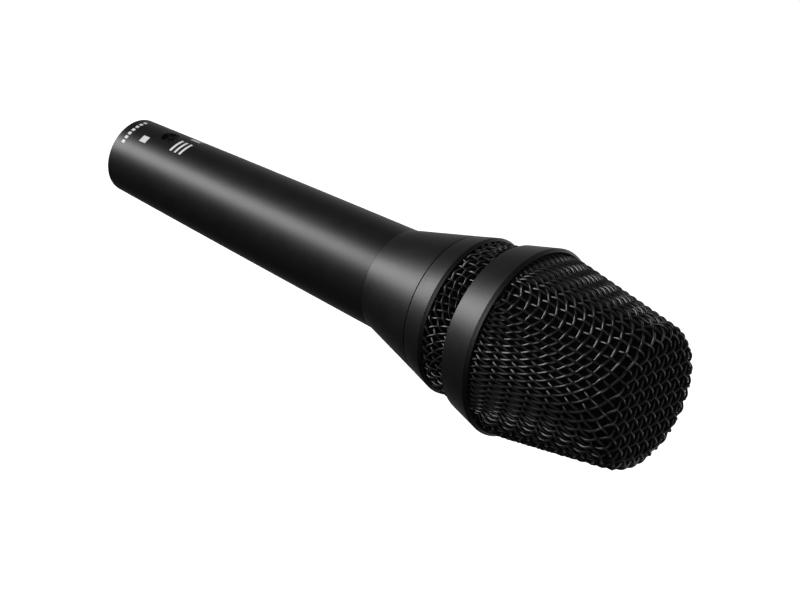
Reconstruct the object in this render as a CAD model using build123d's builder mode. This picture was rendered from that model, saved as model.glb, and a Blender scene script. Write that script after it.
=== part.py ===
from build123d import *
import math
import os

# Dynamic microphone, millimetres. The long axis is +X, from the centre of the tail's end face to the
# head; +Z is up. Every turned piece is an outline of (x, radius) points revolved about the long axis.

# Outside shape
TAIL_R = 10.73
HANDLE_END = 101.1
HANDLE_R = 14.15
NECK_END = 120.45
NECK_R = 19.66
HEAD_SEAM = 0.3
COLLAR_EDGE = 126.85
COLLAR_R = 21.53
COLLAR_END = 127.65
BAND_START = 135.85
BAND_REAR_R = 22.93
BAND_EDGE = 145.0
BAND_R = 25.5
BAND_END = 145.9
MESH_THICKNESS = 1.3
REAR_MESH_R = 21.33
FRONT_MESH_R = 25.06
FRONT_MESH_TAPER = 0.1575
MESH_CORNER_R = 5.2
MESH_FRONT = 184.2
MESH_DOME = 0.3

# Gaps between pieces
FIT = 0.02
RUN = 0.05
THREAD_GAP = 0.15

# A solid that hollows a piece out runs this far past its open end
OVERRUN = 1.0

# Handle and its cable socket
BORE_R = 9.2
BORE_END = 27.0
BORE_FRONT_R = 12.0
SPIGOT_START = 93.0
SPIGOT_R = 12.3
SPIGOT_BORE_R = 10.6
SHELL_START = 0.6
SHELL_END = 25.0
SHELL_R = 9.15
SOCKET_R = 8.15
SOCKET_END = 16.2
INSULATOR_END = 22.2
PIN_R = 1.2
PIN_SHANK_R = 1.75
PIN_TIP = 2.6
PIN_END = 26.0
PIN_PLACES = [(3.3, 1.9), (-3.3, 1.9), (0.0, -3.8)]
BOARD_START = 22.6
BOARD_END = 23.8
SCREW_X = 15.1
SCREW_ANGLE = 2.5
SCREW_HEAD_R = 2.45
SCREW_HOLE_R = 2.6
SCREW_SHANK_R = 1.5
SCREW_BOTTOM = 8.3
SCREW_SHOULDER = 9.3
SCREW_TOP = 10.3

# Neck thread
THREAD_R = 17.6
THREAD_DEPTH = 0.45
THREAD_PITCH = 1.0
THREAD_FLANK = 0.4
THREAD_TURNS = 5
THREAD_START = 122.0
THREAD_END = 127.5
CARRIER_BORE_R = 15.05
CARRIER_BORE_START = 110.0

# Capsule
CARRIER_R = 15.0
CARRIER_IN_R = 13.4
CARRIER_START = 110.3
CARRIER_END = 128.9
CHAMBER_R = 11.5
CHAMBER_IN_R = 10.3
CHAMBER_START = 114.0
CAPSULE_R = 16.0
CAPSULE_START = 134.4
CAPSULE_END = 152.4
YOKE_R = 12.35
YOKE_START = 136.0
YOKE_END = 147.5
YOKE_FLOOR = 138.3
YOKE_IN_R = 8.0
POLE_R = 6.6
POLE_START = 144.8
COIL_IN_R = 7.0
COIL_R = 7.45
COIL_START = 144.6
FILM_X = 148.9
FILM = 0.15
FILM_R = 14.9
DOME_R = 7.55
DOME_HEIGHT = 2.2
CLAMP_IN_R = 13.2
CLAMP_R = 14.95
SEAT_R = 15.0
SEAT_START = 146.5
CAP_FACE = 152.4
CAP_END = 154.0

# Foam
FOAM_START = 146.4
FOAM_GAP = 0.3
FOAM_THICKNESS = 3.2
FOAM_CORNER_R = 4.2
STRIP_R = 19.3
STRIP_IN_R = 18.2
STRIP_START = 127.75
STRIP_END = 136.8


def across(x):
    """Plane square to the long axis at x: sketch x is +Y, sketch y is +Z."""
    return Plane(origin=(x, 0, 0), x_dir=(0, 1, 0), z_dir=(1, 0, 0))


def outline(*points, corner=None, radius=0.0):
    """Closed outline of (x, radius) points in the XZ plane, with one corner rounded if asked."""
    with BuildSketch(Plane.XZ) as face:
        with BuildLine():
            Polyline(*points, close=True)
        make_face()
        if corner is not None:
            fillet(face.vertices().sort_by_distance(corner)[0], radius)
    return face.sketch


def ring(start, end, inner, outer):
    """Outline of a plain ring or, with no inner radius, of a disc."""
    return outline((start, inner), (end, inner), (end, outer), (start, outer))


def turned(label, *outlines):
    """A labelled piece turned from one or more outlines."""
    with BuildPart() as piece:
        for face in outlines:
            revolve(face, axis=Axis.X)
    piece.part.label = label
    return piece.part


def write(part):
    """Write one piece to its own file."""
    export_step(part, f"parts/{part.label}.step")


os.makedirs("parts", exist_ok=True)

# ---- Handle: a slim cone, rounded at the tail, with a stepped bore ----
handle_slope = (HANDLE_R - TAIL_R) / HANDLE_END
SEAM_CHAMFER = 0.15
TAIL_ROUND = 0.5
with BuildPart() as handle:
    handle_face = outline(
        (0, TAIL_R),
        (HANDLE_END - SEAM_CHAMFER, HANDLE_R - handle_slope * SEAM_CHAMFER),
        (HANDLE_END, HANDLE_R - SEAM_CHAMFER),
        (HANDLE_END, SPIGOT_R),
        (SPIGOT_START, SPIGOT_R),
        (SPIGOT_START, BORE_FRONT_R),
        (BORE_END, BORE_R),
        (0, BORE_R),
        corner=(0, TAIL_R),
        radius=TAIL_ROUND,
    )
    revolve(handle_face, axis=Axis.X)
    # Clearance hole for the connector's lock screw, leaning a little off the top
    screw_out = Vector(0, math.sin(math.radians(SCREW_ANGLE)), math.cos(math.radians(SCREW_ANGLE)))
    screw_plane = Plane(origin=(SCREW_X, 0, 0), x_dir=(1, 0, 0), z_dir=screw_out)
    with BuildSketch(screw_plane.offset(SCREW_BOTTOM)):
        Circle(SCREW_HOLE_R)
    extrude(amount=TAIL_R, mode=Mode.SUBTRACT)
handle.part.label = "handle"
write(handle.part)

# ---- Neck: flares from the handle to the head, with a threaded nose for the head ----
neck_slope = (NECK_R - HANDLE_R) / (NECK_END - HANDLE_END)


def thread_points(radius, depth):
    """Ridged stretch along the thread: crests at radius, V grooves cut by depth."""
    points = []
    for turn in range(THREAD_TURNS):
        x = THREAD_START + turn * THREAD_PITCH
        points += [(x - THREAD_FLANK, radius), (x, radius - depth), (x + THREAD_FLANK, radius)]
    return points


NECK_BORE_FLOOR = 104.0
with BuildPart() as neck_flare:
    neck_face = outline(
        (SPIGOT_START + FIT, SPIGOT_BORE_R),
        (SPIGOT_START + FIT, SPIGOT_R - FIT),
        (HANDLE_END, SPIGOT_R - FIT),
        (HANDLE_END, HANDLE_R - SEAM_CHAMFER),
        (HANDLE_END + SEAM_CHAMFER, HANDLE_R + neck_slope * SEAM_CHAMFER),
        (NECK_END, NECK_R),
        (NECK_END, THREAD_R),
        *thread_points(THREAD_R, THREAD_DEPTH),
        (THREAD_END, THREAD_R - THREAD_DEPTH),
        (THREAD_END, CARRIER_BORE_R),
        (CARRIER_BORE_START, CARRIER_BORE_R),
        (NECK_BORE_FLOOR, SPIGOT_BORE_R),
    )
    revolve(neck_face, axis=Axis.X)
neck_flare.part.label = "neck_flare"
write(neck_flare.part)

# ---- Cable socket: metal shell, insulator, three pins, board, ground tag, lock screw ----
KEYWAY_WIDTH = 3.2
KEYWAY_DEPTH = 0.5
KEYWAY_END = 9.0
with BuildPart() as xlr_shell:
    revolve(ring(SHELL_START, SHELL_END, SOCKET_R, SHELL_R), axis=Axis.X)
    with BuildSketch(across(SHELL_START)):
        with Locations((0, SOCKET_R)):
            Rectangle(KEYWAY_WIDTH, KEYWAY_DEPTH * 2)
    extrude(amount=KEYWAY_END - SHELL_START, mode=Mode.SUBTRACT)
    with BuildSketch(screw_plane):
        Circle(SCREW_SHANK_R + RUN)
    extrude(amount=SHELL_R * 2, mode=Mode.SUBTRACT)
xlr_shell.part.label = "xlr_shell"
write(xlr_shell.part)

INSULATOR_RECESS = 0.8
INSULATOR_RECESS_R = 6.6
with BuildPart() as xlr_insulator:
    revolve(ring(SOCKET_END, INSULATOR_END, 0, SOCKET_R - FIT), axis=Axis.X)
    revolve(
        ring(INSULATOR_END - INSULATOR_RECESS, INSULATOR_END, 0, INSULATOR_RECESS_R),
        axis=Axis.X,
        mode=Mode.SUBTRACT,
    )
    with BuildSketch(across(SOCKET_END)):
        with Locations(*PIN_PLACES):
            Circle(PIN_SHANK_R + FIT)
    extrude(amount=INSULATOR_END - SOCKET_END, mode=Mode.SUBTRACT)
xlr_insulator.part.label = "xlr_insulator"
write(xlr_insulator.part)

CUP_R = 1.25
CUP_DEPTH = 2.0
PIN_TIP_ROUND = 0.6
for number, place in enumerate(PIN_PLACES, start=1):
    with BuildPart() as xlr_pin:
        with BuildSketch(across(PIN_TIP)):
            with Locations(place):
                Circle(PIN_R)
        extrude(amount=SOCKET_END - PIN_TIP)
        fillet(xlr_pin.edges().filter_by(GeomType.CIRCLE).sort_by(Axis.X)[0], PIN_TIP_ROUND)
        with BuildSketch(across(SOCKET_END)):
            with Locations(place):
                Circle(PIN_SHANK_R)
        extrude(amount=PIN_END - SOCKET_END)
        # Solder cup at the inner end
        with BuildSketch(across(PIN_END)):
            with Locations(place):
                Circle(CUP_R)
        extrude(amount=-CUP_DEPTH, mode=Mode.SUBTRACT)
    xlr_pin.part.label = f"xlr_pin_{number}"
    write(xlr_pin.part)

BOARD_R = 7.9
with BuildPart() as rf_board:
    revolve(ring(BOARD_START, BOARD_END, 0, BOARD_R), axis=Axis.X)
    with BuildSketch(across(BOARD_START)):
        with Locations(*PIN_PLACES):
            Circle(PIN_SHANK_R + FIT)
    extrude(amount=BOARD_END - BOARD_START, mode=Mode.SUBTRACT)
rf_board.part.label = "rf_board"
write(rf_board.part)

CAPACITOR_PLACES = [(0.0, 4.4), (3.4, -2.6), (-3.4, -2.6)]
CAPACITOR_SIZE = (2.0, 1.25)
CAPACITOR_HEIGHT = 0.9
with BuildPart() as rf_capacitors:
    with BuildSketch(across(BOARD_END)):
        with Locations(*CAPACITOR_PLACES):
            Rectangle(*CAPACITOR_SIZE)
    extrude(amount=CAPACITOR_HEIGHT)
rf_capacitors.part.label = "rf_capacitors"
write(rf_capacitors.part)

TAG_WIDTH = 1.8
TAG_THICKNESS = 0.3
TAG_OUT = SOCKET_R - RUN
TAG_TONGUE = 1.1
tag_angle = math.degrees(math.atan2(PIN_PLACES[0][1], PIN_PLACES[0][0]))
tag_in = math.hypot(*PIN_PLACES[0]) + PIN_SHANK_R + FIT
tag_out_dir = Vector(0, math.cos(math.radians(tag_angle)), math.sin(math.radians(tag_angle)))
with BuildPart() as ground_tag:
    with BuildSketch(Plane(origin=(BOARD_END, 0, 0), x_dir=tag_out_dir, z_dir=(1, 0, 0))):
        with Locations(((tag_in + TAG_OUT - TAG_THICKNESS) / 2, 0)):
            Rectangle(TAG_OUT - TAG_THICKNESS - tag_in, TAG_WIDTH)
    extrude(amount=TAG_THICKNESS)
    with BuildSketch(Plane(origin=(BOARD_END, 0, 0), x_dir=tag_out_dir, z_dir=(1, 0, 0))):
        with Locations((TAG_OUT - TAG_THICKNESS, 0)):
            Rectangle(TAG_THICKNESS, TAG_WIDTH)
    extrude(amount=TAG_TONGUE)
ground_tag.part.label = "ground_tag"
write(ground_tag.part)

DRIVE_LENGTH = 3.2
DRIVE_WIDTH = 0.6
DRIVE_DEPTH = 0.6
with BuildPart() as lock_screw:
    with BuildSketch(screw_plane.offset(SCREW_BOTTOM)):
        Circle(SCREW_SHANK_R)
    extrude(amount=SCREW_SHOULDER - SCREW_BOTTOM)
    with BuildSketch(screw_plane.offset(SCREW_SHOULDER)):
        Circle(SCREW_HEAD_R)
    extrude(amount=SCREW_TOP - SCREW_SHOULDER)
    with BuildSketch(screw_plane.offset(SCREW_TOP)):
        Rectangle(DRIVE_LENGTH, DRIVE_WIDTH)
        Rectangle(DRIVE_WIDTH, DRIVE_LENGTH)
    extrude(amount=-DRIVE_DEPTH, mode=Mode.SUBTRACT)
lock_screw.part.label = "lock_screw"
write(lock_screw.part)

# ---- Leads inside the handle, from the socket's solder cups to the capsule's tags ----
LEAD_R = 0.5
TAG_Y = 3.0
LEAD_END = 110.55
LEAD_BEND_R = 14.0
lead_routes = {
    "lead_hot": [
        (PIN_END, *PIN_PLACES[1]),
        (36.0, *PIN_PLACES[1]),
        (58.0, -5.2, -2.0),
        (84.0, -4.6, -4.4),
        (101.0, -TAG_Y, 0.0),
        (LEAD_END, -TAG_Y, 0.0),
    ],
    "lead_cold": [
        (PIN_END, *PIN_PLACES[2]),
        (38.0, *PIN_PLACES[2]),
        (60.0, 3.4, -5.0),
        (82.0, 5.4, -1.6),
        (101.0, TAG_Y, 0.0),
        (LEAD_END, TAG_Y, 0.0),
    ],
}
for name, route in lead_routes.items():
    with BuildPart() as lead:
        with BuildLine() as path:
            FilletPolyline(*route, radius=LEAD_BEND_R)
        with BuildSketch(Plane(origin=route[0], z_dir=(1, 0, 0))):
            Circle(LEAD_R)
        sweep(path=path.line)
    lead.part.label = name
    write(lead.part)

# ---- Head: collar, seal, rear mesh, band, clamping ring, front mesh, foams ----
SEAL_IN_R = 18.5
SEAL_R = 19.1
SEAL_END = 121.35
SEAL_STANDOFF = 0.05
collar_start = NECK_END + HEAD_SEAM
collar_slope = (COLLAR_R - NECK_R) / (COLLAR_EDGE - NECK_END)
collar_bore = THREAD_R + THREAD_GAP
COLLAR_CHAMFER_R = 20.93
HEM_START = 126.2
HEM_R = 20.8
HEM_IN_R = 19.35
collar_ring = turned(
    "collar_ring",
    outline(
        (collar_start, collar_bore),
        (collar_start, SEAL_IN_R - FIT),
        (SEAL_END, SEAL_IN_R - FIT),
        (SEAL_END, SEAL_R + FIT),
        (collar_start, SEAL_R + FIT),
        (collar_start, NECK_R + collar_slope * HEAD_SEAM),
        (COLLAR_EDGE, COLLAR_R),
        (COLLAR_END, COLLAR_CHAMFER_R),
        (COLLAR_END, HEM_R),
        (HEM_START, HEM_R),
        (HEM_START, HEM_IN_R),
        (COLLAR_END, HEM_IN_R),
        (COLLAR_END, collar_bore),
        *reversed(thread_points(collar_bore, -THREAD_DEPTH)),
    ),
)
write(collar_ring)

head_seal = turned("head_seal", ring(NECK_END + SEAL_STANDOFF, SEAL_END, SEAL_IN_R, SEAL_R))
write(head_seal)

# The woven meshes are closed shells here: their real outside shape, with the wires' full thickness
REAR_MESH_START = 126.3
REAR_MESH_SWELL = 127.8
REAR_MESH_FULL = 129.3
REAR_MESH_END = 138.3
rear_edge_r = HEM_R - RUN
rear_mesh = turned(
    "rear_mesh",
    outline(
        (REAR_MESH_START, rear_edge_r),
        (REAR_MESH_SWELL, rear_edge_r),
        (REAR_MESH_FULL, REAR_MESH_R),
        (REAR_MESH_END, REAR_MESH_R),
        (REAR_MESH_END, REAR_MESH_R - MESH_THICKNESS),
        (REAR_MESH_FULL, REAR_MESH_R - MESH_THICKNESS),
        (REAR_MESH_SWELL, rear_edge_r - MESH_THICKNESS),
        (REAR_MESH_START, rear_edge_r - MESH_THICKNESS),
    ),
)
write(rear_mesh)

BAND_REAR_CHAMFER = 0.3
BAND_POCKET_R = 21.45
BAND_POCKET_END = 138.4
BAND_LIP_R = 19.9
BAND_LIP_START = 136.9
BAND_BORE_R = 18.6
BAND_FRONT_R = 24.8
BAND_MOUTH_R = 24.5
BAND_MOUTH_END = 145.8
BAND_SHELF = 143.1
band_slope = (BAND_R - BAND_REAR_R) / (BAND_EDGE - BAND_START)
grille_band = turned(
    "grille_band",
    outline(
        (BAND_START, BAND_POCKET_R),
        (BAND_START, BAND_REAR_R - BAND_REAR_CHAMFER),
        (BAND_START + BAND_REAR_CHAMFER, BAND_REAR_R + band_slope * BAND_REAR_CHAMFER),
        (BAND_EDGE, BAND_R),
        (BAND_END, BAND_FRONT_R),
        (BAND_MOUTH_END, BAND_MOUTH_R),
        (BAND_SHELF, BAND_MOUTH_R),
        (BAND_SHELF, BAND_BORE_R),
        (BAND_LIP_START, BAND_BORE_R),
        (BAND_LIP_START, BAND_LIP_R),
        (BAND_POCKET_END, BAND_LIP_R),
        (BAND_POCKET_END, BAND_POCKET_R),
    ),
)
write(grille_band)

CLAMP_RING_IN_R = 21.2
CLAMP_RING_R = 22.8
CLAMP_RING_END = 146.1
mesh_clamp_ring = turned(
    "mesh_clamp_ring", ring(BAND_SHELF, CLAMP_RING_END, CLAMP_RING_IN_R, CLAMP_RING_R)
)
write(mesh_clamp_ring)


def front_mesh_radius(x):
    """Radius of the front mesh's straight cone at x."""
    return FRONT_MESH_R - FRONT_MESH_TAPER * (x - BAND_EDGE)


# The mesh leaves the band a little inside its cone and swells out to it
HEM_FRONT_START = 143.2
HEM_FRONT_R = 24.16
SWELL_X = 146.5
SWELL_R = 24.36
CONE_X = 149.5


def front_mesh_cup(inset):
    """Solid of the front mesh's outside, moved in by inset."""
    start = HEM_FRONT_START if inset == 0 else HEM_FRONT_START - OVERRUN
    corner = (MESH_FRONT - inset, front_mesh_radius(MESH_FRONT - inset) - inset)
    return outline(
        (start, 0),
        (start, HEM_FRONT_R - inset),
        (SWELL_X, SWELL_R - inset),
        (CONE_X, front_mesh_radius(CONE_X) - inset),
        corner,
        (MESH_FRONT + MESH_DOME - inset, 0),
        corner=corner,
        radius=MESH_CORNER_R - inset,
    )


with BuildPart() as front_mesh:
    revolve(front_mesh_cup(0), axis=Axis.X)
    revolve(front_mesh_cup(MESH_THICKNESS), axis=Axis.X, mode=Mode.SUBTRACT)
front_mesh.part.label = "front_mesh"
write(front_mesh.part)


def foam_cup(inset, front, start):
    """Solid of the front foam's outside, moved in by inset, ending at front."""
    reach = MESH_THICKNESS + FOAM_GAP + inset
    corner = (front, front_mesh_radius(front) - reach)
    return outline(
        (start, 0),
        (start, SWELL_R - reach),
        (CONE_X, front_mesh_radius(CONE_X) - reach),
        corner,
        (front, 0),
        corner=corner,
        radius=FOAM_CORNER_R - inset,
    )


FOAM_FRONT = 182.5
with BuildPart() as front_windscreen:
    revolve(foam_cup(0, FOAM_FRONT, FOAM_START), axis=Axis.X)
    revolve(
        foam_cup(FOAM_THICKNESS, FOAM_FRONT - FOAM_THICKNESS, FOAM_START - OVERRUN),
        axis=Axis.X,
        mode=Mode.SUBTRACT,
    )
front_windscreen.part.label = "front_windscreen"
write(front_windscreen.part)

rear_windscreen = turned("rear_windscreen", ring(STRIP_START, STRIP_END, STRIP_IN_R, STRIP_R))
write(rear_windscreen)

# ---- Capsule carrier and the two rubber rings that float the capsule in it ----
CARRIER_FLOOR = 111.5
CARRIER_HOLE_R = 6.0
CARRIER_FLANGE_R = 17.1
capsule_carrier = turned(
    "capsule_carrier",
    outline(
        (CARRIER_START, CARRIER_HOLE_R),
        (CARRIER_START, CARRIER_R),
        (THREAD_END + FIT, CARRIER_R),
        (THREAD_END + FIT, CARRIER_FLANGE_R),
        (CARRIER_END, CARRIER_FLANGE_R),
        (CARRIER_END, CARRIER_IN_R),
        (CARRIER_FLOOR, CARRIER_IN_R),
        (CARRIER_FLOOR, CARRIER_HOLE_R),
    ),
)
write(capsule_carrier)

REAR_SHOCK_START = 114.6
FRONT_SHOCK_START = 122.6
SHOCK_LENGTH = 5.0
SHOCK_WEB = 1.2
SHOCK_LIP = 0.55
shock_rings = {"rear_shock_ring": REAR_SHOCK_START, "front_shock_ring": FRONT_SHOCK_START}
for name, start in shock_rings.items():
    middle_x = start + SHOCK_LENGTH / 2
    inner = CHAMBER_R + FIT
    outer = CARRIER_IN_R - FIT
    shock_ring = turned(
        name,
        outline(
            (start, inner),
            (start, inner + SHOCK_LIP),
            (middle_x - SHOCK_WEB / 2, inner + SHOCK_LIP),
            (middle_x - SHOCK_WEB / 2, outer - SHOCK_LIP),
            (start, outer - SHOCK_LIP),
            (start, outer),
            (start + SHOCK_LENGTH, outer),
            (start + SHOCK_LENGTH, outer - SHOCK_LIP),
            (middle_x + SHOCK_WEB / 2, outer - SHOCK_LIP),
            (middle_x + SHOCK_WEB / 2, inner + SHOCK_LIP),
            (start + SHOCK_LENGTH, inner + SHOCK_LIP),
            (start + SHOCK_LENGTH, inner),
        ),
    )
    write(shock_ring)

# ---- Capsule: rear air chamber, body, magnet system, coil, diaphragm, cap ----
CHAMBER_FLOOR = 115.2
TAG_HOLE_R = 0.9
with BuildPart() as rear_chamber:
    chamber_face = outline(
        (CHAMBER_START, 0),
        (CHAMBER_START, CHAMBER_R),
        (CAPSULE_START, CHAMBER_R),
        (CAPSULE_START, CHAMBER_IN_R),
        (CHAMBER_FLOOR, CHAMBER_IN_R),
        (CHAMBER_FLOOR, 0),
    )
    revolve(chamber_face, axis=Axis.X)
    with BuildSketch(across(CHAMBER_START)):
        with Locations((TAG_Y, 0), (-TAG_Y, 0)):
            Circle(TAG_HOLE_R)
    extrude(amount=CHAMBER_FLOOR - CHAMBER_START, mode=Mode.SUBTRACT)
rear_chamber.part.label = "rear_chamber"
write(rear_chamber.part)

PORT_COUNT = 8
PORT_R = 1.0
PORT_CIRCLE_R = 13.7
COIL_WINDOW_R = 9.9
CAPSULE_CHAMFER = 1.0
with BuildPart() as capsule_body:
    body_face = outline(
        (CAPSULE_START, COIL_WINDOW_R),
        (CAPSULE_START, CAPSULE_R - CAPSULE_CHAMFER),
        (CAPSULE_START + CAPSULE_CHAMFER, CAPSULE_R),
        (CAPSULE_END, CAPSULE_R),
        (CAPSULE_END, SEAT_R),
        (SEAT_START, SEAT_R),
        (SEAT_START, YOKE_R + FIT),
        (YOKE_START, YOKE_R + FIT),
        (YOKE_START, COIL_WINDOW_R),
    )
    revolve(body_face, axis=Axis.X)
    with BuildSketch(across(CAPSULE_START)):
        with PolarLocations(PORT_CIRCLE_R, PORT_COUNT):
            Circle(PORT_R)
    extrude(amount=SEAT_START - CAPSULE_START, mode=Mode.SUBTRACT)
capsule_body.part.label = "capsule_body"
write(capsule_body.part)

magnet_yoke = turned(
    "magnet_yoke",
    outline(
        (YOKE_START, 0),
        (YOKE_START, YOKE_R),
        (YOKE_END, YOKE_R),
        (YOKE_END, YOKE_IN_R),
        (YOKE_FLOOR, YOKE_IN_R),
        (YOKE_FLOOR, 0),
    ),
)
write(magnet_yoke)

MAGNET_R = 6.2
write(turned("magnet", ring(YOKE_FLOOR, POLE_START, 0, MAGNET_R)))
write(turned("pole_piece", ring(POLE_START, YOKE_END, 0, POLE_R)))
write(turned("voice_coil", ring(COIL_START, FILM_X, COIL_IN_R, COIL_R)))

# The dome is a shallow spherical cap of film that moves with the coil
sphere_r = (DOME_R**2 + DOME_HEIGHT**2) / (2 * DOME_HEIGHT)
half_r = DOME_R / 2
half_x = FILM_X + DOME_HEIGHT - sphere_r + math.sqrt(sphere_r**2 - half_r**2)
with BuildPart() as diaphragm:
    with BuildSketch(Plane.XZ):
        with BuildLine():
            ThreePointArc((FILM_X, DOME_R), (half_x, half_r), (FILM_X + DOME_HEIGHT, 0))
            Line((FILM_X + DOME_HEIGHT, 0), (FILM_X + DOME_HEIGHT + FILM, 0))
            ThreePointArc((FILM_X + DOME_HEIGHT + FILM, 0), (half_x + FILM, half_r), (FILM_X + FILM, DOME_R))
            Line((FILM_X + FILM, DOME_R), (FILM_X, DOME_R))
        make_face()
    revolve(axis=Axis.X)
diaphragm.part.label = "diaphragm"
write(diaphragm.part)

# The surround is the rolled edge of the film: its rim is clamped, its inner edge follows the coil
ROLL_IN_R = 8.2
ROLL_OUT_R = 12.8
ROLL_HEIGHT = 0.8
SURROUND_GAP = 0.05
roll_middle_r = (ROLL_IN_R + ROLL_OUT_R) / 2
with BuildPart() as surround:
    with BuildSketch(Plane.XZ):
        with BuildLine():
            Polyline(
                (FILM_X, ROLL_IN_R),
                (FILM_X, DOME_R + SURROUND_GAP),
                (FILM_X + FILM, DOME_R + SURROUND_GAP),
                (FILM_X + FILM, ROLL_IN_R),
            )
            ThreePointArc(
                (FILM_X + FILM, ROLL_IN_R),
                (FILM_X + FILM + ROLL_HEIGHT, roll_middle_r),
                (FILM_X + FILM, ROLL_OUT_R),
            )
            Polyline(
                (FILM_X + FILM, ROLL_OUT_R),
                (FILM_X + FILM, FILM_R),
                (FILM_X, FILM_R),
                (FILM_X, ROLL_OUT_R),
            )
            ThreePointArc(
                (FILM_X, ROLL_OUT_R),
                (FILM_X + ROLL_HEIGHT, roll_middle_r),
                (FILM_X, ROLL_IN_R),
            )
        make_face()
    revolve(axis=Axis.X)
surround.part.label = "surround"
write(surround.part)

FELT = 0.8
FELT_IN_R = 12.45
write(turned("damping_felt", ring(SEAT_START, SEAT_START + FELT, FELT_IN_R, CLAMP_R)))
write(turned("diaphragm_ring", ring(SEAT_START + FELT, FILM_X, CLAMP_IN_R, CLAMP_R)))

CAP_HOLE_R = 1.1
CAP_CHAMFER = 0.4
CAP_RINGS = [(4.2, 6), (8.2, 12), (12.0, 18)]
with BuildPart() as resonator_cap:
    cap_face = outline(
        (FILM_X + FILM, CLAMP_IN_R),
        (FILM_X + FILM, CLAMP_R),
        (CAP_FACE, CLAMP_R),
        (CAP_FACE, CAPSULE_R),
        (CAP_END - CAP_CHAMFER, CAPSULE_R),
        (CAP_END, CAPSULE_R - CAP_CHAMFER),
        (CAP_END, 0),
        (CAP_FACE, 0),
        (CAP_FACE, CLAMP_IN_R),
    )
    revolve(cap_face, axis=Axis.X)
    with BuildSketch(across(CAP_FACE)):
        Circle(CAP_HOLE_R)
        for circle_r, count in CAP_RINGS:
            with PolarLocations(circle_r, count):
                Circle(CAP_HOLE_R)
    extrude(amount=CAP_END - CAP_FACE, mode=Mode.SUBTRACT)
resonator_cap.part.label = "resonator_cap"
write(resonator_cap.part)

CLOTH = 0.25
CLOTH_R = 15.0
write(turned("capsule_cloth", ring(CAP_END, CAP_END + CLOTH, 0, CLOTH_R)))

HUM_COIL_R = 9.6
HUM_COIL_IN_R = 6.4
HUM_COIL_START = 131.9
write(turned("hum_coil", ring(HUM_COIL_START, YOKE_START, HUM_COIL_IN_R, HUM_COIL_R)))

TERMINAL_START = 112.8
TERMINAL_R = 9.0
SOLDER_TAG_THICKNESS = 0.5
SOLDER_TAG_WIDTH = 1.6
write(turned("terminal_board", ring(TERMINAL_START, CHAMBER_START, 0, TERMINAL_R)))
with BuildPart() as solder_tags:
    with BuildSketch(across(LEAD_END)):
        with Locations((TAG_Y, 0), (-TAG_Y, 0)):
            Rectangle(SOLDER_TAG_THICKNESS, SOLDER_TAG_WIDTH)
    extrude(amount=TERMINAL_START - LEAD_END)
solder_tags.part.label = "solder_tags"
write(solder_tags.part)
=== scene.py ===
import math

import bmesh
import bpy
import numpy as np
from mathutils import Matrix, Vector, noise


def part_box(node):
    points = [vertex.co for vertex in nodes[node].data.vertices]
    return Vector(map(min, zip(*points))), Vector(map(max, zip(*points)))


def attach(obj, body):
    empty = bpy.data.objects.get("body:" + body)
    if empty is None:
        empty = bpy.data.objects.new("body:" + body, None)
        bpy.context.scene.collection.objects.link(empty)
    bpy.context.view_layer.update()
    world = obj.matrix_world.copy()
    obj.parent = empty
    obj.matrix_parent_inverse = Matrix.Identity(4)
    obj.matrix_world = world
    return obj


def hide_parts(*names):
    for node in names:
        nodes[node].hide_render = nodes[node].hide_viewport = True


# A handheld microphone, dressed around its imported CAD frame. Lengths here are millimetres unless a name
# says otherwise, and to_m brings them to the frame's metres. The long axis is +X; angles round it are
# measured from +Z towards -Y.

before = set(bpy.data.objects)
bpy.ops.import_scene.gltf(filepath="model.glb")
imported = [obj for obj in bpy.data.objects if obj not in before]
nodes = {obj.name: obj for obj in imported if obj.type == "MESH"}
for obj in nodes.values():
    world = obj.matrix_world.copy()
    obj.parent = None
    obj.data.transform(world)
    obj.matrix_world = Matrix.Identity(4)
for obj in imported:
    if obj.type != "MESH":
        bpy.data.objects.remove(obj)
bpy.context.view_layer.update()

MM = 0.001


def to_m(values):
    """Millimetres to metres."""
    return np.asarray(values, float) * MM


def span(node):
    """First and last x of a CAD node, and its largest radius, in millimetres."""
    low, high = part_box(node)
    return low.x / MM, high.x / MM, high.y / MM


# ---------------------------------------------------------------- camera, floor and light
VIEW_AZIMUTH = math.radians(41.887)
VIEW_ELEVATION = math.radians(32.749)
VIEW_DISTANCE_M = 0.5878
VIEW_AIM_M = Vector((0.1166, -0.0165, 0.0086))
VIEW_LENS_MM = 105.0
VIEW_SENSOR_MM = 36.0
FLOOR_HALF_M = 6.0
FLOOR_HEIGHT_M = -0.42
FLOOR_WHITE = 0.93
FLOOR_GLOW = 0.85
SOFTBOX_AIM_M = Vector((0.1, 0.0, 0.0))
SOFTBOX_DISTANCE_M = 1.0
# The bright sweep's middle, as an angle round the long axis, and the light's level by how nearly a
# direction points at it: 0 is square to it, 1 straight at it
SWEEP_AROUND = math.radians(-110)
SWEEP_LEVELS = [(0.0, 0.01), (0.3, 0.05), (0.6, 0.2), (0.85, 0.5), (1.0, 0.8)]
STUDIO_PALE = 0.88


def add_camera():
    """The photograph's view: a long lens, above and in front of the head."""
    back = Vector(
        (
            math.sin(VIEW_AZIMUTH) * math.cos(VIEW_ELEVATION),
            -math.cos(VIEW_AZIMUTH) * math.cos(VIEW_ELEVATION),
            math.sin(VIEW_ELEVATION),
        )
    )
    data = bpy.data.cameras.new("camera")
    data.lens = VIEW_LENS_MM
    data.sensor_width = VIEW_SENSOR_MM
    data.clip_start = 0.01
    camera = bpy.data.objects.new("camera", data)
    camera.location = VIEW_AIM_M + back * VIEW_DISTANCE_M
    camera.rotation_euler = (-back).to_track_quat("-Z", "Y").to_euler()
    bpy.context.scene.collection.objects.link(camera)
    bpy.context.scene.camera = camera


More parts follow.
